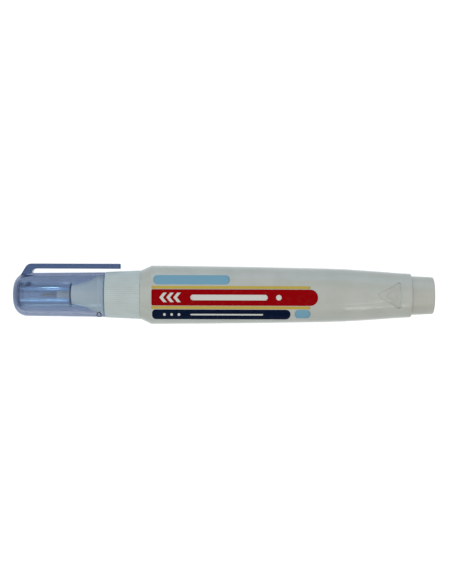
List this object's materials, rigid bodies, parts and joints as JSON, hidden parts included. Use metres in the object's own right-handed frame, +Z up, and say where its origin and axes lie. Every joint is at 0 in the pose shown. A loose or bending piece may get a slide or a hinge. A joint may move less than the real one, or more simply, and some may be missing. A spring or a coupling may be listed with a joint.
{
  "type": "correction pen",
  "caption": "Squeeze correction pen with a flat-faced white barrel, ribbed collar, valve nib, see-through blue push-on cap with side clip, and a tail stub that holds the cap.",
  "frame": {"origin": "centre of the barrel's flat lower face, on the surface the pen lies on", "axes": "+X along the pen from nib to tail, +Y towards the clip, +Z up through the printed face"},
  "size_m": [0.14, 0.0201, 0.0166],
  "materials": {
    "barrel_plastic": "milky white, soft sheen",
    "nozzle_plastic": "white moulded",
    "nib_metal": "turned and polished",
    "valve_plastic": "natural moulded",
    "spring_wire": "drawn wire",
    "tail_plastic": "white moulded",
    "cap_plastic": "see-through blue, glossy",
    "sleeve_plastic": "see-through, glossy",
    "ball_steel": "polished ball"
  },
  "bodies": {
    "barrel": {"barrel": "barrel_plastic", "nozzle": "nozzle_plastic", "nib_holder": "nozzle_plastic", "metal_nib": "nib_metal", "valve_spring": "spring_wire", "spring_seat": "valve_plastic", "tail_plug": "tail_plastic"},
    "cap": {"cap_shell": "cap_plastic", "inner_cap": "sleeve_plastic"},
    "clip": {"cap_clip": "cap_plastic"},
    "valve": {"valve_pin": "nib_metal", "valve_plunger": "valve_plastic"},
    "ball_left": {"mixing_ball_left": "ball_steel"},
    "ball_right": {"mixing_ball_right": "ball_steel"}
  },
  "joints": [
    {"name": "cap_pull", "type": "slide", "parent": "barrel", "child": "cap", "axis": [-1, 0, 0], "range_m": [0, 0.04]},
    {"name": "clip_flex", "type": "hinge", "parent": "cap", "child": "clip", "pos_m": [-0.0699, 0.0084, 0.0083], "axis": [0, 0, 1], "range_deg": [-1.5, 4], "stiffness_Nm_per_rad": 1},
    {"name": "valve_press", "type": "slide", "parent": "barrel", "child": "valve", "axis": [1, 0, 0], "range_m": [0, 0.0004], "stiffness_N_per_m": 200, "springref_m": -0.002, "deforming": ["valve_spring"]},
    {"name": "ball_left_roll", "type": "slide", "parent": "barrel", "child": "ball_left", "axis": [1, 0, 0], "range_m": [-0.031, 0.023]},
    {"name": "ball_right_roll", "type": "slide", "parent": "barrel", "child": "ball_right", "axis": [1, 0, 0], "range_m": [-0.031, 0.023]}
  ]
}
